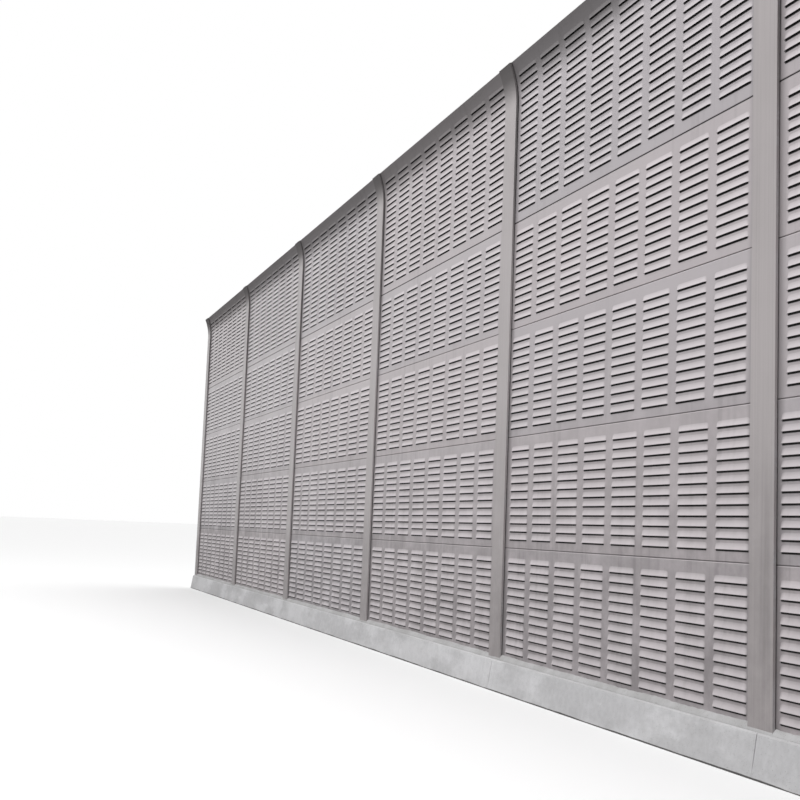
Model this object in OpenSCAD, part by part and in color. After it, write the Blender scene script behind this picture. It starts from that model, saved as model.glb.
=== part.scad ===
// Roadside noise barrier: louvred metal panels slotted between H-section steel
// posts that bend towards the road at the top, on a low concrete plinth.
// X runs along the wall, Y points away from the road and Z is up. The origin is
// the middle of the centre post's foot, level with the plinth's underside.
// All sizes are in millimetres.

/* [Bays] */
// Number of bays between posts
bays = 6; // [2:2:6]
// Distance from one post to the next
bay_pitch = 2000; // [1500:10:3000]

/* [Posts] */
// Depth of the H-section, front to back
post_depth = 125; // [105:1:200]
// Width of the H-section's flanges
flange_w = 125; // [90:1:200]
// Thickness of the flanges
flange_t = 9; // [6:0.5:15]
// Thickness of the web
web_t = 6.5; // [6:0.5:12]
// Radius of the fillets between web and flanges
root_r = 8; // [3:0.5:10]
// Length of post that stands past the top of the panels
post_overrun = 0; // [0:1:60]

/* [Panels] */
// Number of flat panels under the curved one
flat_panels = 4; // [1:1:4]
// Height of one flat panel
panel_h = 500; // [300:5:600]
// Height of the flat part of the top panel
top_flat_h = 575; // [200:5:800]
// Height of its curved part, measured along its front face
top_curve_h = 205; // [100:5:400]
// Thickness of the rubber strip behind each front flange
front_seal_t = 4; // [2:0.5:8]
// Thickness of the rubber strip before each rear flange
rear_seal_t = 5; // [2:0.5:8]
// Width of the rubber strips
seal_w = 24; // [10:1:30]
// Distance from a flange's edge to its strip
seal_inset = 6; // [2:1:12]
// Room between a panel's end and the post's web
end_gap = 20; // [16:0.5:24]
// Furthest that a panel has slid from the middle of its slots
slide_play = 12; // [0:0.5:12]
// Radius of the panels' folded edges
panel_edge_r = 4; // [1:0.5:6]
// Height of the tongue along a flat panel's top
tongue_h = 12; // [5:1:25]
// Thickness of that tongue
tongue_t = 30; // [10:1:50]
// Clearance of a tongue in the groove above it
tongue_gap = 1.5; // [0.5:0.5:4]

/* [Bend] */
// Radius of the bend at the panels' front face
bend_r = 500; // [300:10:2000]

/* [Plinth] */
// Height of the plinth
plinth_h = 135; // [80:5:500]
// Concrete in front of and behind the posts at the plinth's top
plinth_cover = 10; // [4:1:60]
// How much further out the plinth's foot stands
plinth_batter = 20; // [0:1:80]
// Chamfer along the plinth's top edges
plinth_arris = 5; // [1:0.5:10]
// Length of plinth past the centre of each end post
plinth_end = 100; // [80:5:300]
// Width of the joint between two blocks
plinth_joint = 4; // [2:0.5:6]

/* [Hidden] */
$fn = 64;
over = 1;

post_ids = [1 : bays + 1];
bay_ids = [1 : bays];
level_ids = [1 : flat_panels];

// front to back
slot_depth = post_depth - 2 * flange_t;
slot_front_y = -slot_depth / 2;
panel_t = slot_depth - front_seal_t - rear_seal_t;
panel_front_y = slot_front_y + front_seal_t;
panel_back_y = panel_front_y + panel_t;
plinth_top_w = post_depth + 2 * plinth_cover;
plinth_foot_w = plinth_top_w + 2 * plinth_batter;

// up the wall
top_panel_z = plinth_h + flat_panels * panel_h;
bend_z = top_panel_z + top_flat_h;
bend_y = panel_front_y - bend_r;
panel_bend_angle = bend_angle(top_curve_h);
post_bend_angle = bend_angle(top_curve_h + post_overrun);

// along the wall
panel_l = bay_pitch - web_t - 2 * end_gap;
seal_x = flange_w / 2 - seal_inset - seal_w;

function bend_angle(arc_length) = arc_length / bend_r * 180 / PI;

// posts and bays are numbered from the left as the road sees them
function post_name(p) = str("post_", p);
function panel_name(b, l) = str("bay_", b, "_panel_", l);
function top_panel_name(b) = str("bay_", b, "_top_panel");
function plinth_name(b) = str("plinth_block_", b);
function post_x(p) = (p - 1 - bays / 2) * bay_pitch;
function bay_x(b) = (post_x(b) + post_x(b + 1)) / 2;

// each panel has come to rest a little to one side in its slots
function slide(b, l) = slide_play * sin(73 * b + 271 * l * l + 46 * b * l);

// Sweeps a plan outline up the wall from height z, and round the bend
module sweep_up(z, angle) {
    translate([0, 0, z]) linear_extrude(bend_z - z) children();
    translate([0, bend_y, bend_z])
        rotate([90, 0, 90])
            rotate_extrude(angle = angle)
                translate([-bend_y, 0]) mirror([1, -1]) children();
}

// Lays an outline of depth and height along X, centred
module lay_along(length) {
    translate([-length / 2, 0, 0])
        rotate([90, 0, 90]) linear_extrude(length) children();
}

// What rounding the corner at the origin takes off an outline in the first quadrant
module corner_waste(r) {
    difference() {
        translate([-over, -over]) square(r + over);
        translate([r, r]) circle(r);
    }
}

// One channel of the H-section, rounded where it meets the web
module channel_outline() {
    reach = flange_w / 2 + over;
    straight = slot_depth - 2 * root_r;
    translate([web_t / 2 + root_r, slot_front_y]) square([reach, slot_depth]);
    translate([web_t / 2, -straight / 2]) square([reach, straight]);
    for (side = [-1, 1]) {
        translate([web_t / 2 + root_r, side * straight / 2]) circle(root_r);
    }
}

module h_section() {
    difference() {
        square([flange_w, post_depth], center = true);
        channel_outline();
        mirror([1, 0]) channel_outline();
    }
}

module post(p) {
    color([0.58, 0.57, 0.57])
        translate([post_x(p), 0, 0]) sweep_up(0, post_bend_angle) h_section();
}

// What the folds along a panel's edge, at height 0, take off its outline
module fold_waste() {
    corner_waste(panel_edge_r);
    translate([panel_t, 0]) mirror([1, 0]) corner_waste(panel_edge_r);
}

// What the folds and the groove along its bottom take off
module panel_bottom_waste() {
    groove_t = tongue_t + 2 * tongue_gap;
    groove_h = tongue_h + tongue_gap;
    fold_waste();
    translate([(panel_t - groove_t) / 2, -over]) square([groove_t, groove_h + over]);
}

module flat_panel_outline() {
    difference() {
        square([panel_t, panel_h]);
        panel_bottom_waste();
        translate([0, panel_h]) mirror([0, 1]) fold_waste();
    }
    translate([(panel_t - tongue_t) / 2, panel_h - over])
        square([tongue_t, tongue_h + over]);
}

module flat_panel(b, l) {
    color([0.66, 0.65, 0.66])
        translate([bay_x(b) + slide(b, l), panel_front_y, plinth_h + (l - 1) * panel_h])
            lay_along(panel_l) flat_panel_outline();
}

module top_panel(b) {
    color([0.66, 0.65, 0.66])
        translate([bay_x(b) + slide(b, flat_panels + 1), 0, 0])
            difference() {
                sweep_up(top_panel_z, panel_bend_angle)
                    translate([-panel_l / 2, panel_front_y]) square([panel_l, panel_t]);
                translate([0, panel_front_y, top_panel_z])
                    lay_along(panel_l + 2 * over) panel_bottom_waste();
            }
}

// A rubber strip at each end of every bay, between flanges and panels
module seal_strips(y, thickness) {
    color([0.15, 0.15, 0.16])
        for (b = bay_ids, side = [-1, 1]) {
            translate([bay_x(b) - side * bay_pitch / 2, 0, 0])
                sweep_up(plinth_h, panel_bend_angle)
                    translate([side > 0 ? seal_x : -seal_x - seal_w, y])
                        square([seal_w, thickness]);
        }
}

module front_seals() {
    seal_strips(slot_front_y, front_seal_t);
}

module rear_seals() {
    seal_strips(panel_back_y, rear_seal_t);
}

// The plinth's outline from the end: depth from its middle plane, and height
module plinth_outline() {
    top = plinth_top_w / 2;
    foot = plinth_foot_w / 2;
    polygon([
        [-foot, 0], [foot, 0],
        [top, plinth_h - plinth_arris], [top - plinth_arris, plinth_h],
        [plinth_arris - top, plinth_h], [-top, plinth_h - plinth_arris]
    ]);
}

module plinth_block(b) {
    left = b == 1 ? post_x(1) - plinth_end : post_x(b) + plinth_joint / 2;
    right = b == bays ? post_x(b + 1) + plinth_end : post_x(b + 1) - plinth_joint / 2;
    color([0.73, 0.72, 0.73])
        difference() {
            translate([(left + right) / 2, 0, 0]) lay_along(right - left) plinth_outline();
            for (p = [b, b + 1]) {
                translate([post_x(p), 0, -over])
                    linear_extrude(plinth_h + 2 * over) h_section();
            }
        }
}

for (p = post_ids) {
    post(p);
}
for (b = bay_ids, l = level_ids) {
    flat_panel(b, l);
}
for (b = bay_ids) {
    top_panel(b);
}
front_seals();
rear_seals();
for (b = bay_ids) {
    plinth_block(b);
}
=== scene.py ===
import math

import bmesh
import bpy
from mathutils import Matrix, Vector, noise


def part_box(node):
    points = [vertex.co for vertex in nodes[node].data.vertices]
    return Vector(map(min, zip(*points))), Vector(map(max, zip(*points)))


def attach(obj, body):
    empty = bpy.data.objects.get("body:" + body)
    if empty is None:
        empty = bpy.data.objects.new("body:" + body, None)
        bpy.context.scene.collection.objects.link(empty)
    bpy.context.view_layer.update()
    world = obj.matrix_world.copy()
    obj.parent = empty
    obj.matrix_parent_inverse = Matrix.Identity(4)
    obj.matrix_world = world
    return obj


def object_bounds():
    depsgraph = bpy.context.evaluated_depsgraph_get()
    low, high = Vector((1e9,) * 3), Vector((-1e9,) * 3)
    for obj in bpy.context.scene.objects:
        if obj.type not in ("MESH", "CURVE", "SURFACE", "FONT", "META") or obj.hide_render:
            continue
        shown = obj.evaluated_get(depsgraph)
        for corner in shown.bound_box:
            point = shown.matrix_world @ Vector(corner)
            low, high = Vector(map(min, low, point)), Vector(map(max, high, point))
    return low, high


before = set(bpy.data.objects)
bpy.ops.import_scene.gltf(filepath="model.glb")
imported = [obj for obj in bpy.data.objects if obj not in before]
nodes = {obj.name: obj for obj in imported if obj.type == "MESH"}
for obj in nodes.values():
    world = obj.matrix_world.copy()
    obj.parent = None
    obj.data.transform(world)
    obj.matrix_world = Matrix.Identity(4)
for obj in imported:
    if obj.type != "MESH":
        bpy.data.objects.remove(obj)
cadLow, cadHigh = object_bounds()

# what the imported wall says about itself, in metres
postNames = sorted(name for name in nodes if name.startswith("post_"))
plinthNames = sorted(name for name in nodes if name.startswith("plinth_block_"))
bayCount = len(plinthNames)
postLow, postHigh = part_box(postNames[0])
flatLow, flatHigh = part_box("bay_1_panel_1")
wall = {
    "firstPost": (postLow.x + postHigh.x) / 2,
    "flangeHalf": (postHigh.x - postLow.x) / 2,
    "postFace": postHigh.y,  # the rear one, and mirrored, the front one below the bend
    "bayPitch": (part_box(postNames[-1])[0].x - postLow.x) / bayCount,
    "panelFront": flatLow.y,
    "panelBack": flatHigh.y,
    "panelHeight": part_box("bay_1_panel_2")[0].z - flatLow.z,
    "flatCount": sum(1 for name in nodes if name.startswith("bay_1_panel_")),
    "plinthTop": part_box(plinthNames[0])[1].z,
    "top": cadHigh.z,
}
print("frame loaded:", bayCount, "bays and", len(postNames), "posts")


def addNode(tree, kind, links=None, **settings):
    # links: input name or number -> a value, or an output socket to join to it
    node = tree.nodes.new(kind)
    for key, value in settings.items():
        setattr(node, key, value)
    for key, value in (links or {}).items():
        socket = node.inputs[key]
        if isinstance(value, bpy.types.NodeSocket):
            tree.links.new(value, socket)
        else:
            socket.default_value = value
    return node


def calc(tree, operation, a, b=None, clamp=False):
    links = {0: a} if b is None else {0: a, 1: b}
    return addNode(tree, "ShaderNodeMath", links, operation=operation, use_clamp=clamp).outputs[0]


def spread(tree, value, low, high):
    # 0 at low, 1 at high, smooth between
    links = {"Value": value, "From Min": low, "From Max": high}
    return addNode(tree, "ShaderNodeMapRange", links, interpolation_type="SMOOTHSTEP").outputs[0]


def blendColour(tree, factor, a, b):
    links = {0: factor, 6: a, 7: b}  # a Mix node's two colours are its inputs 6 and 7
    return addNode(tree, "ShaderNodeMix", links, data_type="RGBA").outputs[2]


def stretched(tree, coords, x, y, z):
    return addNode(tree, "ShaderNodeVectorMath", {0: coords, 1: (x, y, z)}, operation="MULTIPLY").outputs[0]


def cloud(tree, coords, scale, detail=3.0, roughness=0.5):
    # soft noise about 0.5
    links = {"Vector": coords, "Scale": scale, "Detail": detail, "Roughness": roughness}
    return addNode(tree, "ShaderNodeTexNoise", links).outputs["Fac"]


def splitAxes(tree, coords):
    return addNode(tree, "ShaderNodeSeparateXYZ", {0: coords}).outputs


def facing(tree, axis):
    # how far the surface faces along one axis, from -1 to 1
    return splitAxes(tree, tree.nodes.new("ShaderNodeNewGeometry").outputs["Normal"])[axis]


def linkMesh(name, mesh):
    thing = bpy.data.objects.new(name, mesh)
    bpy.context.scene.collection.objects.link(thing)
    return thing


camera = {
    "place": (7.193, -2.326, 0.693),  # metres, at the right end of the wall
    "turn": 71.22,  # degrees to the left of straight away from the road
    "tilt": 6.09,  # degrees up
    "roll": 2.27,  # degrees
    "lens": 55.2,
    "sensor": 36.0,
    "sight": 2000.0,  # farthest thing it sees
}


def placeCamera():
    data = bpy.data.cameras.new("camera")
    data.lens = camera["lens"]
    data.sensor_width = camera["sensor"]
    data.clip_end = camera["sight"]
    eye = bpy.data.objects.new("camera", data)
    turn = Matrix.Rotation(math.radians(camera["turn"]), 4, "Z")
    tilt = Matrix.Rotation(math.radians(90 + camera["tilt"]), 4, "X")
    roll = Matrix.Rotation(math.radians(camera["roll"]), 4, "Z")
    eye.matrix_world = Matrix.Translation(camera["place"]) @ turn @ tilt @ roll
    bpy.context.scene.collection.objects.link(eye)
    bpy.context.scene.camera = eye


studio = {
    "skyColour": (1.0, 1.0, 1.0, 1.0),
    "roadColour": (0.06, 0.058, 0.058, 1.0),  # what the wall sees below the horizon
    "skyStrength": 1.0,
    "skyFoot": (-0.05, -0.03),  # the road's dark gives way to the sky, just below the horizon
    "keyPower": 840.0,  # watts
    "keySize": 9.0,
    "keyPlace": (5.0, -8.5, 10.0),
    "keyAim": (0.0, 0.0, 1.0),
    "floorColour": (0.92, 0.92, 0.92, 1.0),
    "floorRoughness": 0.9,
    "floorSize": 1600.0,
}


def addKeyLight():
    data = bpy.data.lights.new("key", "AREA")
    data.shape = "DISK"
    data.size = studio["keySize"]
    data.energy = studio["keyPower"]
    lamp = bpy.data.objects.new("key", data)
    aim = Vector(studio["keyAim"]) - Vector(studio["keyPlace"])
    turn = aim.to_track_quat("-Z", "Y").to_matrix().to_4x4()
    lamp.matrix_world = Matrix.Translation(studio["keyPlace"]) @ turn
    bpy.context.scene.collection.objects.link(lamp)


def buildSky():
    world = bpy.data.worlds.new("studioSky")
    world.use_nodes = True
    tree = world.node_tree
    place = addNode(tree, "ShaderNodeTexCoord").outputs["Generated"]
    above = spread(tree, splitAxes(tree, place)["Z"], *studio["skyFoot"])
    sky = tree.nodes["Background"]
    tree.links.new(blendColour(tree, above, studio["roadColour"], studio["skyColour"]), sky.inputs["Color"])
    sky.inputs["Strength"].default_value = studio["skyStrength"]
    bpy.context.scene.world = world


def buildFloor():
    half = studio["floorSize"] / 2
    mesh = bpy.data.meshes.new("floor")
    corners = [(-half, -half, 0), (half, -half, 0), (half, half, 0), (-half, half, 0)]
    mesh.from_pydata(corners, [], [(0, 1, 2, 3)])
    floor = linkMesh("floor", mesh)
    paint = bpy.data.materials.new("floorPaint")
    paint.use_nodes = True
    shader = paint.node_tree.nodes["Principled BSDF"]
    shader.inputs["Base Color"].default_value = studio["floorColour"]
    shader.inputs["Roughness"].default_value = studio["floorRoughness"]
    mesh.materials.append(paint)
    floor.visible_diffuse = False  # the wall is lit as it is beside a dark road
    floor.visible_glossy = False


placeCamera()
addKeyLight()
buildSky()
buildFloor()
bpy.context.scene.view_settings.view_transform = "Standard"
print("camera, light and floor are in place")


# socket types
number, vector, colour = "NodeSocketFloat", "NodeSocketVector", "NodeSocketColor"


def startGroup(name, inputs, outputs):
    group = bpy.data.node_groups.new(name, "ShaderNodeTree")
    for label, kind in inputs.items():
        group.interface.new_socket(label, in_out="INPUT", socket_type=kind)
    for label, kind in outputs.items():
        group.interface.new_socket(label, in_out="OUTPUT", socket_type=kind)
    return group, group.nodes.new("NodeGroupInput").outputs


def finishGroup(group, results):
    end = group.nodes.new("NodeGroupOutput")
    for label, socket in results.items():
        group.links.new(socket, end.inputs[label])
    return group


grimeShape = {
    "cloudNoise": (1.6, 5.0, 0.6),  # scale, detail, roughness
    "cloudRange": (0.34, 0.68),
    "runStretch": (34, 34, 0.9),  # narrow, and long down the wall
    "runScale": 1.0,
    "runRange": (0.50, 0.72),
    "patchScale": 0.8,  # the runs come in patches
    "patchRange": (0.35, 0.65),
    "splashNoise": (9.0, 4.0, 0.65),
    "splashRange": (0.15, 0.70),
}


def buildGrimeGroup():
    # road film over a colour: soft clouds, rain runs, and splash that fades with height
    own = grimeShape
    inputs = {
        "Coordinates": vector, "Colour": colour, "Dirt Colour": colour, "Clouds": number,
        "Runs": number, "Splash": number, "Splash From": number, "Splash Height": number,
    }
    group, given = startGroup("roadGrime", inputs, {"Colour": colour, "Dirt": number})
    coords = given["Coordinates"]
    clouds = spread(group, cloud(group, coords, *own["cloudNoise"]), *own["cloudRange"])
    runs = cloud(group, stretched(group, coords, *own["runStretch"]), own["runScale"])
    patches = spread(group, cloud(group, coords, own["patchScale"]), *own["patchRange"])
    runs = calc(group, "MULTIPLY", spread(group, runs, *own["runRange"]), patches)
    rise = calc(group, "SUBTRACT", splitAxes(group, coords)["Z"], given["Splash From"])
    splash = calc(group, "SUBTRACT", 1.0, calc(group, "DIVIDE", rise, given["Splash Height"]), clamp=True)
    spots = spread(group, cloud(group, coords, *own["splashNoise"]), *own["splashRange"])
    splash = calc(group, "MULTIPLY", splash, spots)
    dirt = calc(group, "MULTIPLY", clouds, given["Clouds"])
    dirt = calc(group, "ADD", dirt, calc(group, "MULTIPLY", runs, given["Runs"]))
    dirt = calc(group, "ADD", dirt, calc(group, "MULTIPLY", splash, given["Splash"]), clamp=True)
    dirty = blendColour(group, dirt, given["Colour"], given["Dirt Colour"])
    return finishGroup(group, {"Colour": dirty, "Dirt": dirt})


skinShape = {
    "grainDetail": 2.0,
    "waveDetail": 1.0,
}


def buildSkinGroup():
    # height, in metres, of a fine skin over a slightly wavy surface
    own = skinShape
    inputs = {
        "Coordinates": vector, "Grain Scale": number, "Grain": number, "Wave Scale": number, "Waves": number,
    }
    group, given = startGroup("surfaceSkin", inputs, {"Height": number})
    coords = given["Coordinates"]
    grain = cloud(group, coords, given["Grain Scale"], own["grainDetail"])
    waves = cloud(group, coords, given["Wave Scale"], own["waveDetail"])
    grain = calc(group, "MULTIPLY", grain, given["Grain"])
    waves = calc(group, "MULTIPLY", waves, given["Waves"])
    return finishGroup(group, {"Height": calc(group, "ADD", grain, waves)})


wearShape = {
    "raggedNoise": (55.0, 5.0, 0.7),
    "raggedMiddle": 0.38,  # noise below this leaves the edge whole
    "raggedReach": 4.0,
    "patchNoise": (5.0, 2.0),
    "patchRange": (0.42, 0.60),
}


def buildWearGroup():
    # mask of what is rubbed or chipped off within a ragged distance of an edge
    own = wearShape
    inputs = {"Coordinates": vector, "Edge Distance": number, "Width": number, "Amount": number}
    group, given = startGroup("edgeWear", inputs, {"Mask": number})
    coords = given["Coordinates"]
    ragged = calc(group, "SUBTRACT", cloud(group, coords, *own["raggedNoise"]), own["raggedMiddle"])
    reach = calc(group, "MULTIPLY", calc(group, "MULTIPLY", ragged, own["raggedReach"]), given["Width"])
    inside = calc(group, "SUBTRACT", reach, given["Edge Distance"])
    inside = calc(group, "DIVIDE", inside, given["Width"], clamp=True)
    patches = spread(group, cloud(group, coords, *own["patchNoise"]), *own["patchRange"])
    mask = calc(group, "MULTIPLY", inside, patches)
    return finishGroup(group, {"Mask": calc(group, "MULTIPLY", mask, given["Amount"], clamp=True)})


speckShape = {
    "rarity": 3.0,  # the higher, the fewer large specks
    "edge": 4.0,  # the higher, the harder their edges
}


def buildSpeckGroup():
    # mask of small round specks of many sizes: pores and grit
    own = speckShape
    inputs = {"Coordinates": vector, "Scale": number, "Size": number}
    group, given = startGroup("specks", inputs, {"Mask": number})
    links = {"Vector": given["Coordinates"], "Scale": given["Scale"]}
    cells = addNode(group, "ShaderNodeTexVoronoi", links).outputs
    chance = splitAxes(group, cells["Color"])["X"]
    size = calc(group, "MULTIPLY", calc(group, "POWER", chance, own["rarity"]), given["Size"])
    inside = calc(group, "DIVIDE", calc(group, "SUBTRACT", size, cells["Distance"]), given["Size"])
    return finishGroup(group, {"Mask": calc(group, "MULTIPLY", inside, own["edge"], clamp=True)})


grimeGroup = buildGrimeGroup()
skinGroup = buildSkinGroup()
wearGroup = buildWearGroup()
speckGroup = buildSpeckGroup()


def placeGroup(tree, group, links):
    return addNode(tree, "ShaderNodeGroup", links, node_tree=group).outputs


def startFinish(name, values):
    # a new material with the values that are the same all over, and its coordinates
    material = bpy.data.materials.new(name)
    material.use_nodes = True
    tree = material.node_tree
    shader = tree.nodes["Principled BSDF"]
    for label, value in values.items():
        shader.inputs[label].default_value = value
    return material, tree, shader, addNode(tree, "ShaderNodeTexCoord").outputs["Object"]


def finishSurface(tree, shader, colour, roughness, height):
    tree.links.new(colour, shader.inputs["Base Color"])
    tree.links.new(roughness, shader.inputs["Roughness"])
    bump = addNode(tree, "ShaderNodeBump", {"Height": height, "Strength": 1.0, "Distance": 1.0})
    tree.links.new(bump.outputs["Normal"], shader.inputs["Normal"])


def grade(tree, mask, low, high):
    # low where the mask is 0, high where it is 1
    return calc(tree, "ADD", calc(tree, "MULTIPLY", mask, high - low), low)


def alongWall(tree, coords):
    # distance from the nearest post's middle, whichever side of it
    fromFirst = calc(tree, "SUBTRACT", splitAxes(tree, coords)["X"], wall["firstPost"])
    return calc(tree, "PINGPONG", fromFirst, wall["bayPitch"] / 2)


panelFinish = {
    "coolPaint": (0.452, 0.420, 0.440, 1.0),
    "warmPaint": (0.494, 0.446, 0.459, 1.0),
    "dirt": (0.115, 0.107, 0.107, 1.0),
    "clouds": 0.08,
    "runs": 0.16,
    "splash": 0.56,
    "splashHeight": 1.5,
    "bleachedAndLit": (0.66, 0.61, 0.63, 1.0),  # what faces up, made lighter: painted light, with some bleaching by sun and rain
    "bleachAndLight": 0.58,
    "bleachAndLightFacing": (0.05, 0.34),  # how far up it faces, from none of this lightening to full
    "settled": 0.36,  # dust on what faces up, near the road
    "settledHeight": 1.5,
    "ior": 1.5,
    "roughness": (0.28, 0.75),  # clean, dirty
    "peelScale": 420.0,
    "peel": 0.000012,  # metres
    "waveScale": 2.6,
    "waves": 0.0005,
    "seam": (0.040, 0.037, 0.037, 1.0),
    "seamReach": 0.0032,  # how far the dark of a joint between two panels spreads
    "seamDirtAndShade": 0.50,
    "topSeam": 1.8,  # the dirt and painted shadow of the joint under the top panel reach this much wider
    "bendShade": 0.80,  # painted shade under the bend
    "postShade": 0.50,  # painted shade beside the posts
    "postShadeReach": 0.045,
    "postLine": (0.25, 0.90),  # painted shadow line against the flanges, low down and high up
    "postLineReach": (0.001, 0.009),
}


def panelTone(tree, coords):
    # one random value for each panel of the wall
    axes = splitAxes(tree, coords)
    bay = calc(tree, "DIVIDE", calc(tree, "SUBTRACT", axes["X"], wall["firstPost"]), wall["bayPitch"])
    row = calc(tree, "DIVIDE", calc(tree, "SUBTRACT", axes["Z"], wall["plinthTop"]), wall["panelHeight"])
    row = calc(tree, "MINIMUM", calc(tree, "FLOOR", row), float(wall["flatCount"]))
    cell = addNode(tree, "ShaderNodeCombineXYZ", {"X": calc(tree, "FLOOR", bay), "Y": row}).outputs[0]
    return addNode(tree, "ShaderNodeTexWhiteNoise", {"Vector": cell}, noise_dimensions="2D").outputs["Value"]


def seamDirtAndShade(tree, coords):
    # mask of dirt and painted shade along the joints between panels
    own = panelFinish
    topReach = own["seamReach"] * own["topSeam"]
    topJoint = wall["flatCount"] * wall["panelHeight"]
    height = calc(tree, "SUBTRACT", splitAxes(tree, coords)["Z"], wall["plinthTop"])
    away = calc(tree, "PINGPONG", height, wall["panelHeight"] / 2)
    isTop = calc(tree, "GREATER_THAN", height, topJoint - wall["panelHeight"] / 2)
    reach = grade(tree, isTop, own["seamReach"], topReach)
    near = calc(tree, "SUBTRACT", 1.0, spread(tree, away, 0.0, reach))
    near = calc(tree, "MULTIPLY", near, calc(tree, "LESS_THAN", height, topJoint + topReach))
    return calc(tree, "MULTIPLY", near, grade(tree, isTop, own["seamDirtAndShade"], 1.0))


# painted shade that grows with height, on panels and posts, in metres
heightShade = {
    "bendFrom": 0.26,  # below the top edge, where the painted shade begins
    "bendFull": 0.10,
    "raggedScale": 7.0,
    "ragged": 0.04,
    "cornerRange": (1.5, 2.6),  # above the ground
}


def onFront(tree, coords):
    # mask of the side towards the road
    return calc(tree, "LESS_THAN", splitAxes(tree, coords)["Y"], 0.0)


def bendShade(tree, coords):
    # mask of painted shade that grows over the bend, on the road side
    own = heightShade
    ragged = calc(tree, "SUBTRACT", cloud(tree, coords, own["raggedScale"]), 0.5)
    height = calc(tree, "ADD", splitAxes(tree, coords)["Z"], calc(tree, "MULTIPLY", ragged, own["ragged"]))
    rise = spread(tree, height, wall["top"] - own["bendFrom"], wall["top"] - own["bendFull"])
    return calc(tree, "MULTIPLY", rise, onFront(tree, coords))


def cornerShade(tree, coords):
    # mask that grows with height, for the painted shade in the corners between posts and panels
    return spread(tree, splitAxes(tree, coords)["Z"], *heightShade["cornerRange"])


def paintedPostShade(tree, coords):
    # painted shade beside the flanges: a wide faint band, and a dark line that is stronger higher up
    own = panelFinish
    away = calc(tree, "SUBTRACT", alongWall(tree, coords), wall["flangeHalf"])
    band = calc(tree, "SUBTRACT", 1.0, spread(tree, away, 0.0, own["postShadeReach"]))
    band = calc(tree, "MULTIPLY", band, own["postShade"])
    line = calc(tree, "SUBTRACT", 1.0, spread(tree, away, *own["postLineReach"]))
    line = calc(tree, "MULTIPLY", line, grade(tree, cornerShade(tree, coords), *own["postLine"]))
    return calc(tree, "MULTIPLY", calc(tree, "MAXIMUM", band, line), onFront(tree, coords))


def settledDust(tree, coords):
    # mask on what faces up, less and less with height
    own = panelFinish
    rise = calc(tree, "SUBTRACT", splitAxes(tree, coords)["Z"], wall["plinthTop"])
    fade = calc(tree, "SUBTRACT", 1.0, calc(tree, "DIVIDE", rise, own["settledHeight"]), clamp=True)
    up = calc(tree, "MULTIPLY", facing(tree, "Z"), own["settled"], clamp=True)
    return calc(tree, "MULTIPLY", up, fade)


def makePanelPaint():
    own = panelFinish
    material, tree, shader, coords = startFinish("panelPaint", {"IOR": own["ior"]})
    paint = blendColour(tree, panelTone(tree, coords), own["coolPaint"], own["warmPaint"])
    grimy = placeGroup(tree, grimeGroup, {
        "Coordinates": coords,
        "Colour": paint,
        "Dirt Colour": own["dirt"],
        "Clouds": own["clouds"],
        "Runs": own["runs"],
        "Splash": own["splash"],
        "Splash From": wall["plinthTop"],
        "Splash Height": own["splashHeight"],
    })
    # upward faces made lighter: painted light, with some bleaching
    upward = spread(tree, facing(tree, "Z"), *own["bleachAndLightFacing"])
    bleachAndLight = calc(tree, "MULTIPLY", upward, own["bleachAndLight"])
    surface = blendColour(tree, bleachAndLight, grimy["Colour"], own["bleachedAndLit"])
    # painted shade under the bend and beside the posts, and dust settled on what faces up, blended towards
    # the dirt colour
    paintedShade = calc(tree, "MULTIPLY", bendShade(tree, coords), own["bendShade"])
    extra = calc(tree, "MAXIMUM", paintedShade, paintedPostShade(tree, coords))
    extra = calc(tree, "MAXIMUM", extra, settledDust(tree, coords))
    surface = blendColour(tree, extra, surface, own["dirt"])
    # dirt and painted shade in the joints
    surface = blendColour(tree, seamDirtAndShade(tree, coords), surface, own["seam"])
    # roughness follows the dirt and the painted shade
    dirtAndShade = calc(tree, "ADD", grimy["Dirt"], extra, clamp=True)
    skin = placeGroup(tree, skinGroup, {
        "Coordinates": coords,
        "Grain Scale": own["peelScale"],
        "Grain": own["peel"],
        "Wave Scale": own["waveScale"],
        "Waves": own["waves"],
    })
    roughness = grade(tree, dirtAndShade, *own["roughness"])
    finishSurface(tree, shader, surface, roughness, skin["Height"])
    return material


postFinish = {
    "paint": (0.430, 0.395, 0.398, 1.0),
    "dirt": (0.095, 0.088, 0.088, 1.0),
    "zinc": (0.42, 0.42, 0.43, 1.0),  # shows where the paint is rubbed through
    "clouds": 0.10,
    "runs": 0.16,
    "splash": 0.30,
    "splashHeight": 1.1,
    "streakStretch": (1.0, 1.0, 0.004),  # fine drawn streaks along the steel
    "streakNoise": (280.0, 3.0, 0.6),
    "streakRange": (0.42, 0.70),
    "streaks": 0.10,
    "ior": 1.5,
    "roughness": (0.32, 0.75),  # clean, dirty
    "peelScale": 380.0,
    "peel": 0.000015,
    "waveScale": 5.0,
    "waves": 0.0002,
    "wearWidth": 0.0022,
    "wear": 0.7,
    "wearDepth": 0.0001,
    # painted shade under the bend
    "bendShade": 0.88,
    "cornerShade": 0.80,  # painted shade on the flanges' side faces, higher up
    "cornerFacing": (0.6, 0.9),  # how far sideways it faces
    "drawn": (1.0, 1.0, 0.35),  # rolled steel is drawn along its length
}


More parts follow.
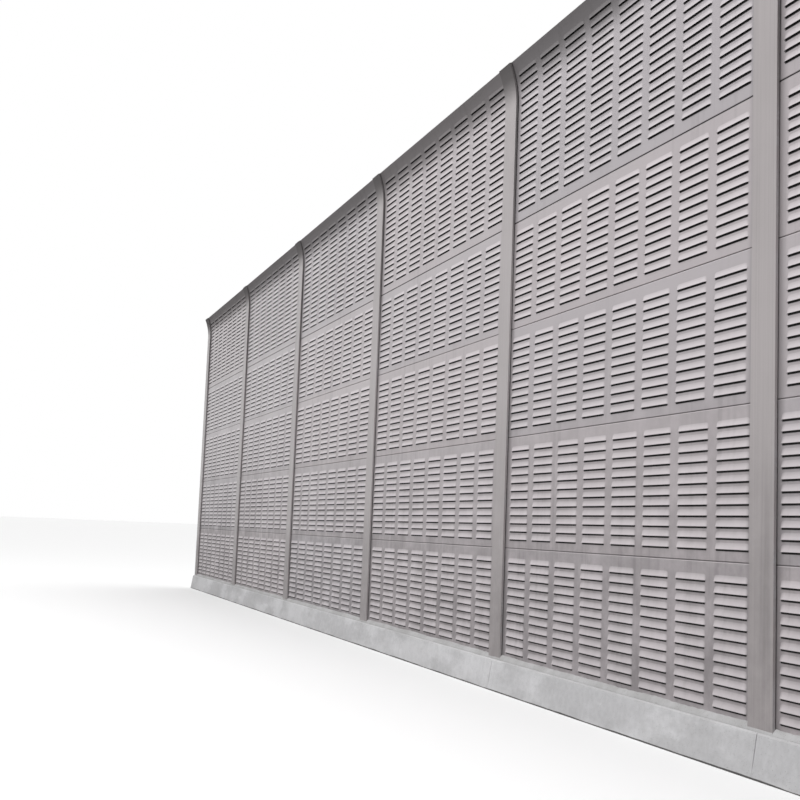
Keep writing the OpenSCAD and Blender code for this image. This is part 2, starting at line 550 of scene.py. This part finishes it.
def makePostPaint():
    own = postFinish
    material, tree, shader, coords = startFinish("postPaint", {"IOR": own["ior"]})
    grimy = placeGroup(tree, grimeGroup, {
        "Coordinates": coords,
        "Colour": own["paint"],
        "Dirt Colour": own["dirt"],
        "Clouds": own["clouds"],
        "Runs": own["runs"],
        "Splash": own["splash"],
        "Splash From": wall["plinthTop"],
        "Splash Height": own["splashHeight"],
    })
    # painted shade under the bend and on the flanges' side faces, blended towards the dirt colour
    paintedShade = calc(tree, "MULTIPLY", bendShade(tree, coords), own["bendShade"])
    streaks = cloud(tree, stretched(tree, coords, *own["streakStretch"]), *own["streakNoise"])
    streaks = calc(tree, "MULTIPLY", spread(tree, streaks, *own["streakRange"]), own["streaks"])
    streaked = blendColour(tree, streaks, grimy["Colour"], own["dirt"])
    # painted shade on the faces that look sideways, higher up
    sideways = spread(tree, calc(tree, "ABSOLUTE", facing(tree, "X")), *own["cornerFacing"])
    corner = calc(tree, "MULTIPLY", sideways, cornerShade(tree, coords))
    paintedShade = calc(tree, "MAXIMUM", paintedShade, calc(tree, "MULTIPLY", corner, own["cornerShade"]))
    surface = blendColour(tree, paintedShade, streaked, own["dirt"])
    fromEdge = calc(tree, "SUBTRACT", wall["flangeHalf"], alongWall(tree, coords))
    rubbed = placeGroup(tree, wearGroup, {
        "Coordinates": coords,
        "Edge Distance": fromEdge,
        "Width": own["wearWidth"],
        "Amount": own["wear"],
    })["Mask"]
    rubbed = calc(tree, "MULTIPLY", rubbed, calc(tree, "SUBTRACT", 1.0, paintedShade))
    surface = blendColour(tree, rubbed, surface, own["zinc"])
    skin = placeGroup(tree, skinGroup, {
        "Coordinates": stretched(tree, coords, *own["drawn"]),
        "Grain Scale": own["peelScale"],
        "Grain": own["peel"],
        "Wave Scale": own["waveScale"],
        "Waves": own["waves"],
    })["Height"]
    height = calc(tree, "SUBTRACT", skin, calc(tree, "MULTIPLY", rubbed, own["wearDepth"]))
    # roughness follows the dirt and the painted shade
    dirt = calc(tree, "ADD", grimy["Dirt"], paintedShade, clamp=True)
    roughness = grade(tree, dirt, *own["roughness"])
    finishSurface(tree, shader, surface, roughness, height)
    return material


concreteFinish = {
    "specular": 0.35,
    "pale": (0.70, 0.695, 0.71, 1.0),
    "grey": (0.49, 0.485, 0.495, 1.0),
    "dirt": (0.17, 0.165, 0.155, 1.0),
    "pore": (0.16, 0.155, 0.15, 1.0),
    "footBlack": (0.035, 0.033, 0.03, 1.0),
    "patchStretch": (1.0, 1.0, 3.0),
    "patchNoise": (1.7, 6.0, 0.62),
    "patchRange": (0.41, 0.61),
    "patchShare": 0.7,  # of the mottling; the rest is fine
    "fineNoise": (38.0, 5.0, 0.65),
    "fineRange": (0.30, 0.72),
    "clouds": 0.15,
    "runs": 0.06,
    "splash": 0.10,
    "splashHeight": 0.06,
    "ledgeShade": 0.22,  # painted shade on what faces up
    "ledgeFacing": (0.3, 0.9),
    "poreScale": 240.0,
    "poreSize": 0.42,
    "poreTint": 0.35,
    "poreDepth": 0.0006,
    "grainScale": 600.0,
    "grain": 0.00012,
    "waveScale": 4.0,
    "waves": 0.004,
    "footLine": 0.005,  # height of the black line along the plinth's foot
    "footNoise": (4.0, 4.0),
    "footBlur": 0.001,
    "footTint": 0.9,
    "chipWidth": 0.006,
    "chips": 0.8,
    "chipTint": 0.5,
    "chipDepth": 0.002,
    "roughness": (0.78, 0.92),
}


def makeConcrete():
    own = concreteFinish
    material, tree, shader, coords = startFinish("plinthConcrete", {"Specular IOR Level": own["specular"]})
    patches = cloud(tree, stretched(tree, coords, *own["patchStretch"]), *own["patchNoise"])
    patches = calc(tree, "MULTIPLY", spread(tree, patches, *own["patchRange"]), own["patchShare"])
    fine = spread(tree, cloud(tree, coords, *own["fineNoise"]), *own["fineRange"])
    mottling = calc(tree, "ADD", patches, calc(tree, "MULTIPLY", fine, 1 - own["patchShare"]))
    body = blendColour(tree, mottling, own["grey"], own["pale"])
    grimy = placeGroup(tree, grimeGroup, {
        "Coordinates": coords,
        "Colour": body,
        "Dirt Colour": own["dirt"],
        "Clouds": own["clouds"],
        "Runs": own["runs"],
        "Splash": own["splash"],
        "Splash From": 0.0,
        "Splash Height": own["splashHeight"],
    })
    pores = placeGroup(tree, speckGroup, {
        "Coordinates": coords, "Scale": own["poreScale"], "Size": own["poreSize"],
    })["Mask"]
    surface = blendColour(tree, calc(tree, "MULTIPLY", pores, own["poreTint"]), grimy["Colour"], own["pore"])
    height = splitAxes(tree, coords)["Z"]
    chipped = placeGroup(tree, wearGroup, {
        "Coordinates": coords,
        "Edge Distance": calc(tree, "SUBTRACT", wall["plinthTop"], height),
        "Width": own["chipWidth"],
        "Amount": own["chips"],
    })["Mask"]
    surface = blendColour(tree, calc(tree, "MULTIPLY", chipped, own["chipTint"]), surface, own["grey"])
    # painted shade on the plinth's upward faces, against their lighter tone
    ledge = calc(tree, "MULTIPLY", spread(tree, facing(tree, "Z"), *own["ledgeFacing"]), own["ledgeShade"])
    surface = blendColour(tree, ledge, surface, own["dirt"])
    # a black line along the plinth's foot
    ragged = calc(tree, "MULTIPLY", cloud(tree, coords, *own["footNoise"]), 2 * own["footLine"])
    above = spread(tree, calc(tree, "SUBTRACT", height, ragged), -own["footBlur"], own["footBlur"])
    foot = calc(tree, "MULTIPLY", calc(tree, "SUBTRACT", 1.0, above), own["footTint"])
    surface = blendColour(tree, foot, surface, own["footBlack"])
    skin = placeGroup(tree, skinGroup, {
        "Coordinates": coords,
        "Grain Scale": own["grainScale"],
        "Grain": own["grain"],
        "Wave Scale": own["waveScale"],
        "Waves": own["waves"],
    })["Height"]
    relief = calc(tree, "SUBTRACT", skin, calc(tree, "MULTIPLY", pores, own["poreDepth"]))
    relief = calc(tree, "SUBTRACT", relief, calc(tree, "MULTIPLY", chipped, own["chipDepth"]))
    finishSurface(tree, shader, surface, grade(tree, fine, *own["roughness"]), relief)
    return material


mortarFinish = {
    "specular": 0.3,
    "pale": (0.45, 0.445, 0.45, 1.0),
    "grey": (0.36, 0.355, 0.355, 1.0),
    "grit": (0.22, 0.21, 0.20, 1.0),
    "toneNoise": (7.0, 5.0, 0.65),
    "toneRange": (0.32, 0.66),
    "gritScale": 260.0,
    "gritSize": 0.5,
    "gritTint": 0.6,
    "grainScale": 420.0,
    "grain": 0.0004,
    "waveScale": 45.0,
    "waves": 0.0012,
    "roughness": (0.84, 0.96),
}


def makeMortar():
    own = mortarFinish
    material, tree, shader, coords = startFinish("mortar", {"Specular IOR Level": own["specular"]})
    tone = spread(tree, cloud(tree, coords, *own["toneNoise"]), *own["toneRange"])
    body = blendColour(tree, tone, own["grey"], own["pale"])
    grit = placeGroup(tree, speckGroup, {
        "Coordinates": coords, "Scale": own["gritScale"], "Size": own["gritSize"],
    })["Mask"]
    surface = blendColour(tree, calc(tree, "MULTIPLY", grit, own["gritTint"]), body, own["grit"])
    skin = placeGroup(tree, skinGroup, {
        "Coordinates": coords,
        "Grain Scale": own["grainScale"],
        "Grain": own["grain"],
        "Wave Scale": own["waveScale"],
        "Waves": own["waves"],
    })["Height"]
    finishSurface(tree, shader, surface, grade(tree, tone, *own["roughness"]), skin)
    return material


rubberFinish = {
    "specular": 0.4,
    "black": (0.016, 0.016, 0.017, 1.0),
    "dust": (0.12, 0.115, 0.11, 1.0),
    "dustAmount": 0.35,
    "runs": 0.3,
    "splashHeight": 0.6,
    "drawn": (1.0, 1.0, 0.01),  # drawn lines along the strip
    "ribScale": 900.0,
    "rib": 0.0002,
    "waveScale": 12.0,
    "waves": 0.0003,
    "roughness": (0.6, 0.9),  # clean, dusty
}


def makeRubber():
    own = rubberFinish
    material, tree, shader, coords = startFinish("sealRubber", {"Specular IOR Level": own["specular"]})
    grimy = placeGroup(tree, grimeGroup, {
        "Coordinates": coords,
        "Colour": own["black"],
        "Dirt Colour": own["dust"],
        "Clouds": own["dustAmount"],
        "Runs": own["runs"],
        "Splash": own["dustAmount"],
        "Splash From": wall["plinthTop"],
        "Splash Height": own["splashHeight"],
    })
    skin = placeGroup(tree, skinGroup, {
        "Coordinates": stretched(tree, coords, *own["drawn"]),
        "Grain Scale": own["ribScale"],
        "Grain": own["rib"],
        "Wave Scale": own["waveScale"],
        "Waves": own["waves"],
    })["Height"]
    roughness = grade(tree, grimy["Dirt"], *own["roughness"])
    finishSurface(tree, shader, grimy["Colour"], roughness, skin)
    return material


fleeceShadeFinish = {
    "specular": 0.1,
    "black": (0.035, 0.034, 0.034, 1.0),
    "fibre": (0.10, 0.097, 0.095, 1.0),
    "fibreStretch": (0.25, 1.0, 1.0),
    "fibreNoise": (700.0, 4.0, 0.7),
    "fibreRange": (0.45, 0.75),
    "fibreHeight": 0.0004,
    "roughness": (0.85, 0.95),
}


def makeFleeceShade():
    # the black fleece over the mineral wool, seen through the louvres; on the slot plates it also paints the
    # shade in the openings and under the lips
    own = fleeceShadeFinish
    material, tree, shader, coords = startFinish("absorberFleeceShade", {"Specular IOR Level": own["specular"]})
    fibres = cloud(tree, stretched(tree, coords, *own["fibreStretch"]), *own["fibreNoise"])
    surface = blendColour(tree, spread(tree, fibres, *own["fibreRange"]), own["black"], own["fibre"])
    roughness = grade(tree, fibres, *own["roughness"])
    finishSurface(tree, shader, surface, roughness, calc(tree, "MULTIPLY", fibres, own["fibreHeight"]))
    return material


panelPaint = makePanelPaint()
postPaint = makePostPaint()
concrete = makeConcrete()
mortarMix = makeMortar()
rubber = makeRubber()
fleeceShade = makeFleeceShade()


def dress(name, material):
    mesh = nodes[name].data
    mesh.materials.clear()
    mesh.materials.append(material)


for name in nodes:
    if name in postNames:
        dress(name, postPaint)
    elif name in plinthNames:
        dress(name, concrete)
    elif name.endswith("_seals"):
        dress(name, rubber)
    else:
        dress(name, panelPaint)
print("every packed piece has its finish")


# pressed hoods over dark slots, on every panel's front sheet; the slots are dark plates that paint the shade
# in the openings and under the lips; metres, unless a note says otherwise
louvre = {
    "columns": 8,
    "flatRows": 12,
    "topRows": 19,
    "columnPitch": 0.2332,
    "rowPitch": 0.0360,
    "flatFirstLip": 0.0405,  # from a flat panel's bottom to its first lip
    "topFirstLip": 0.0525,
    "width": 0.188,
    "height": 0.0225,
    "reach": 0.0060,  # how far the lip stands out
    "sheet": 0.0012,
    "belly": 0.5,  # share of a straight run-out; the rest grows steeper towards the lip
    "endCurve": 0.016,  # length of the closed, rounded ends
    "endHeight": 0.55,  # share of the height that the ends keep
    "endSteps": (0.0, 0.15, 0.5, 1.0),  # cross-sections of an end, as shares of its curve
    "outerSteps": (0.0, 0.22, 0.48, 0.75, 1.0),  # down the outside, as shares of the height
    "innerSteps": (1.0, 0.55, 0.10),  # and back up the inside
    "sharpAngle": 45,  # degrees
    "slotDrop": 0.0062,  # how far the dark slot plate reaches under the lip, as painted shadow of the lip
    "slotRise": 0.014,
    "slotInset": 0.005,  # from a hood's end to its slot's end
    "seat": 0.0003,  # how deep the hoods' edges lie in the sheet
    "bendStart": 0.575,  # from the top panel's bottom
    "bendRadius": 0.500,
}


def quarterRise(distance, length):
    # 0 at the end, 1 from length onwards, as a quarter circle
    left = max(0.0, 1.0 - distance / length)
    return math.sqrt(1.0 - left * left)


def makeHood():
    half = louvre["width"] / 2
    belly = louvre["belly"]
    endHeight = louvre["endHeight"]
    stations = [-half + louvre["endCurve"] * s for s in louvre["endSteps"]]
    stations += [half - louvre["endCurve"] * s for s in reversed(louvre["endSteps"])]

    def point(x, down, inset):
        rise = quarterRise(half - abs(x), louvre["endCurve"])
        bulge = belly * down + (1 - belly) * down ** 2
        out = louvre["reach"] * rise * bulge - inset - louvre["seat"] * (1 - rise * bulge)
        top = louvre["height"] * (endHeight + (1 - endHeight) * rise)
        return (x, -out, top * (1 - down))

    mesh = bpy.data.meshes.new("louvreHood")
    work = bmesh.new()
    outer = [[work.verts.new(point(x, d, 0.0)) for d in louvre["outerSteps"]] for x in stations]
    inner = [[work.verts.new(point(x, d, louvre["sheet"])) for d in louvre["innerSteps"]] for x in stations]
    for left, right, leftIn, rightIn in zip(outer, outer[1:], inner, inner[1:]):
        loop = left + leftIn
        twin = right + rightIn
        for i in range(len(loop)):
            j = (i + 1) % len(loop)
            work.faces.new((loop[i], loop[j], twin[j], twin[i]))
    work.faces.new(outer[0] + inner[0])
    work.faces.new(list(reversed(outer[-1] + inner[-1])))
    bmesh.ops.recalc_face_normals(work, faces=work.faces)
    work.to_mesh(mesh)
    work.free()
    return linkMesh("louvreHood", mesh)


def makeSlot():
    # a thin dark plate behind each hood: the fleece in the opening, and painted shade in the opening and
    # under the lip
    half = louvre["width"] / 2 - louvre["slotInset"]
    low, high = -louvre["slotDrop"], louvre["slotRise"]
    front, back = -louvre["seat"], louvre["seat"]
    mesh = bpy.data.meshes.new("louvreSlot")
    work = bmesh.new()
    bmesh.ops.create_cube(work, size=1.0)
    size = Vector((2 * half, back - front, high - low))
    middle = Vector((0, (front + back) / 2, (low + high) / 2))
    for corner in work.verts:
        corner.co = Vector(c * s for c, s in zip(corner.co, size)) + middle
    work.to_mesh(mesh)
    work.free()
    return linkMesh("louvreSlot", mesh)


louvreInputs = {
    "Piece": "NodeSocketObject",
    "Columns": "NodeSocketInt",
    "Rows": "NodeSocketInt",
    "Column Pitch": "NodeSocketFloat",
    "Row Pitch": "NodeSocketFloat",
    "First Lip": "NodeSocketFloat",
    "Middle X": "NodeSocketFloat",
    "Face Y": "NodeSocketFloat",
    "Bottom Z": "NodeSocketFloat",
    "Bend Start": "NodeSocketFloat",
    "Bend Radius": "NodeSocketFloat",
    "Finish": "NodeSocketMaterial",
}


def buildLouvreTree():
    tree = bpy.data.node_groups.new("louvreRows", "GeometryNodeTree")
    for label, kind in louvreInputs.items():
        tree.interface.new_socket(label, in_out="INPUT", socket_type=kind)
    tree.interface.new_socket("Geometry", in_out="OUTPUT", socket_type="NodeSocketGeometry")
    given = tree.nodes.new("NodeGroupInput").outputs
    spanX = calc(tree, "MULTIPLY", calc(tree, "SUBTRACT", given["Columns"], 1.0), given["Column Pitch"])
    spanZ = calc(tree, "MULTIPLY", calc(tree, "SUBTRACT", given["Rows"], 1.0), given["Row Pitch"])
    grid = addNode(tree, "GeometryNodeMeshGrid", {
        "Size X": spanX,
        "Size Y": spanZ,
        "Vertices X": given["Columns"],
        "Vertices Y": given["Rows"],
    })
    place = splitAxes(tree, tree.nodes.new("GeometryNodeInputPosition").outputs[0])
    up = calc(tree, "ADD", place["Y"], calc(tree, "MULTIPLY", spanZ, 0.5))
    up = calc(tree, "ADD", up, given["First Lip"])  # height along the sheet
    past = calc(tree, "MAXIMUM", calc(tree, "SUBTRACT", up, given["Bend Start"]), 0.0)
    angle = calc(tree, "DIVIDE", past, given["Bend Radius"])
    marked = addNode(tree, "GeometryNodeStoreNamedAttribute", {
        "Geometry": grid.outputs["Mesh"],
        "Name": "lean",
        "Value": angle,
    }, data_type="FLOAT", domain="POINT")
    forward = calc(tree, "SUBTRACT", 1.0, calc(tree, "COSINE", angle))
    forward = calc(tree, "MULTIPLY", forward, given["Bend Radius"])
    climb = calc(tree, "MULTIPLY", calc(tree, "SINE", angle), given["Bend Radius"])
    climb = calc(tree, "ADD", climb, calc(tree, "MINIMUM", up, given["Bend Start"]))
    spot = addNode(tree, "ShaderNodeCombineXYZ", {
        "X": calc(tree, "ADD", place["X"], given["Middle X"]),
        "Y": calc(tree, "SUBTRACT", given["Face Y"], forward),
        "Z": calc(tree, "ADD", climb, given["Bottom Z"]),
    })
    placed = addNode(tree, "GeometryNodeSetPosition", {
        "Geometry": marked.outputs["Geometry"],
        "Position": spot.outputs[0],
    })
    lean = addNode(tree, "GeometryNodeInputNamedAttribute", {"Name": "lean"}, data_type="FLOAT")
    turn = addNode(tree, "ShaderNodeCombineXYZ", {"X": lean.outputs["Attribute"]})
    piece = addNode(tree, "GeometryNodeObjectInfo", {"Object": given["Piece"]})
    copies = addNode(tree, "GeometryNodeInstanceOnPoints", {
        "Points": placed.outputs["Geometry"],
        "Instance": piece.outputs["Geometry"],
        "Rotation": turn.outputs[0],
    })
    real = addNode(tree, "GeometryNodeRealizeInstances", {"Geometry": copies.outputs["Instances"]})
    finished = addNode(tree, "GeometryNodeSetMaterial", {
        "Geometry": real.outputs["Geometry"],
        "Material": given["Finish"],
    })
    return finishGroup(tree, {"Geometry": finished.outputs["Geometry"]})


def growMesh(tree, values):
    # runs a tree on an empty mesh with its inputs set, and gives the plain mesh
    carrier = linkMesh("carrier", bpy.data.meshes.new("carrier"))
    growth = carrier.modifiers.new("growth", "NODES")
    growth.node_group = tree
    for item in tree.interface.items_tree:
        if item.in_out == "INPUT" and item.name in values:
            growth[item.identifier] = values[item.name]
    bpy.context.view_layer.update()
    shape = carrier.evaluated_get(bpy.context.evaluated_depsgraph_get())
    mesh = bpy.data.meshes.new_from_object(shape)
    carrier.modifiers.remove(growth)
    bpy.data.objects.remove(carrier)
    return mesh


def joinMeshes(name, meshes, material):
    work = bmesh.new()
    for mesh in meshes:
        work.from_mesh(mesh)
        bpy.data.meshes.remove(mesh)
    joined = bpy.data.meshes.new(name)
    work.to_mesh(joined)
    work.free()
    joined.materials.append(material)
    return linkMesh(name, joined)


def panelLayout(name):
    low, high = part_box(name)
    isTop = name.endswith("_top_panel")
    return {
        "Columns": louvre["columns"],
        "Rows": louvre["topRows"] if isTop else louvre["flatRows"],
        "Column Pitch": louvre["columnPitch"],
        "Row Pitch": louvre["rowPitch"],
        "First Lip": louvre["topFirstLip"] if isTop else louvre["flatFirstLip"],
        "Middle X": (low.x + high.x) / 2,
        "Face Y": wall["panelFront"],
        "Bottom Z": low.z,
        "Bend Start": louvre["bendStart"],
        "Bend Radius": louvre["bendRadius"],
    }


def dressPanels():
    tree = buildLouvreTree()
    hood = makeHood()
    slot = makeSlot()
    for bay in range(1, bayCount + 1):
        panels = [name for name in sorted(nodes) if name.startswith(f"bay_{bay}_")]
        for title, piece, finish in (("louvres", hood, panelPaint), ("slots", slot, fleeceShade)):
            meshes = [
                growMesh(tree, {**panelLayout(name), "Piece": piece, "Finish": finish})
                for name in panels
            ]
            field = joinMeshes(f"bay{bay}_{title}", meshes, finish)
            field.data.shade_smooth()
            field.data.set_sharp_from_angle(angle=math.radians(louvre["sharpAngle"]))
            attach(field, "root")
    bpy.data.objects.remove(hood)
    bpy.data.objects.remove(slot)


dressPanels()
print("louvres are pressed")


# a trowelled fillet along the panels' and posts' feet, front and rear; metres
mortar = {
    "step": 0.012,  # between cross-sections, along the wall
    "panelHeight": 0.021,
    "postHeight": 0.010,
    "wander": 0.21,  # share by which its height wanders along the wall
    "wanderScale": (4.0, 7.0),  # along the wall, and between its two sides
    "ripple": 0.15,
    "rippleScale": (38.0, 3.0),
    "ledge": 0.0015,  # bare concrete left at the plinth's top edge
    "ledgeWander": 0.00072,
    "seat": 0.0003,  # how deep it lies in its neighbours
    "struckBack": 0.0004,  # how far a joint's pointing stays behind the blocks' faces
    "profile": [(0.0, 0.10), (0.22, 0.34), (0.5, 0.62), (0.8, 0.88), (1.0, 1.0)],  # in from the edge, up
    "sharpAngle": 50,  # degrees
}


def unevenness(scale, x, side, back):
    along, row = scale
    return noise.noise(Vector((x * along, side * row, back)))


def mortarStrip(work, left, right, back, height, side):
    # one closed fillet from left to right, against a face that lies back from the middle
    edge = plinthHalf - mortar["ledge"]
    bed = wall["plinthTop"] - mortar["seat"]
    count = max(2, round((right - left) / mortar["step"]))
    rings = []
    for i in range(count + 1):
        x = left + (right - left) * i / count
        wander = unevenness(mortar["wanderScale"], x, side, back)
        ripple = unevenness(mortar["rippleScale"], x, side, back)
        up = height * (1 + mortar["wander"] * wander + mortar["ripple"] * ripple)
        out = edge + mortar["ledgeWander"] * (wander + ripple)
        ring = [(out - (out - back) * a, wall["plinthTop"] + up * b) for a, b in mortar["profile"]]
        ring[-1] = (back - mortar["seat"], ring[-1][1])
        ring.append((back - mortar["seat"], bed))
        ring.append((out, bed))
        rings.append([work.verts.new((x, side * y, z)) for y, z in ring])
    for ring, following in zip(rings, rings[1:]):
        for i in range(len(ring)):
            j = (i + 1) % len(ring)
            work.faces.new((ring[i], ring[j], following[j], following[i]))
    work.faces.new(rings[0])
    work.faces.new(list(reversed(rings[-1])))


def finishStrip(name, work, material):
    bmesh.ops.recalc_face_normals(work, faces=work.faces)
    mesh = bpy.data.meshes.new(name)
    work.to_mesh(mesh)
    work.free()
    mesh.materials.append(material)
    piece = linkMesh(name, mesh)
    mesh.shade_smooth()
    mesh.set_sharp_from_angle(angle=math.radians(mortar["sharpAngle"]))
    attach(piece, "root")


def layMortar(name, side, panelFace):
    work = bmesh.new()
    for bay in range(bayCount):
        left = wall["firstPost"] + bay * wall["bayPitch"] + wall["flangeHalf"]
        right = left + wall["bayPitch"] - 2 * wall["flangeHalf"]
        mortarStrip(work, left, right, panelFace, mortar["panelHeight"], side)
    for post in range(bayCount + 1):
        middle = wall["firstPost"] + post * wall["bayPitch"]
        left, right = middle - wall["flangeHalf"], middle + wall["flangeHalf"]
        mortarStrip(work, left, right, wall["postFace"], mortar["postHeight"], side)
    finishStrip(name, work, mortarMix)


def plinthTopHalf():
    # half the width of the plinth's top
    rounding = 0.0001
    corners = [corner.co for corner in nodes[plinthNames[0]].data.vertices]
    return max(place.y for place in corners if place.z > wall["plinthTop"] - rounding)


def pointJoints(name):
    # weak mortar struck a little back from the faces, in the joint under each post between two blocks
    top = plinthHalf - mortar["struckBack"]
    foot = cadHigh.y - mortar["struckBack"]  # the plinth's foot is the wall's rearmost line
    high = wall["plinthTop"] - mortar["struckBack"]
    half = (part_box(plinthNames[1])[0].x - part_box(plinthNames[0])[1].x) / 2
    work = bmesh.new()
    for post in range(1, bayCount):
        middle = wall["firstPost"] + post * wall["bayPitch"]
        for side in (-1, 1):
            outline = [(wall["postFace"], 0.0), (foot, 0.0), (top, high), (wall["postFace"], high)]
            first = [work.verts.new((middle - half, side * y, z)) for y, z in outline]
            second = [work.verts.new((middle + half, side * y, z)) for y, z in outline]
            for i in range(len(outline)):
                j = (i + 1) % len(outline)
                work.faces.new((first[i], first[j], second[j], second[i]))
            work.faces.new(first)
            work.faces.new(list(reversed(second)))
    finishStrip(name, work, concrete)


plinthHalf = plinthTopHalf()
layMortar("mortar_front", -1, -wall["panelFront"])
layMortar("mortar_rear", 1, wall["panelBack"])
pointJoints("joint_pointing")
print("mortar is laid")
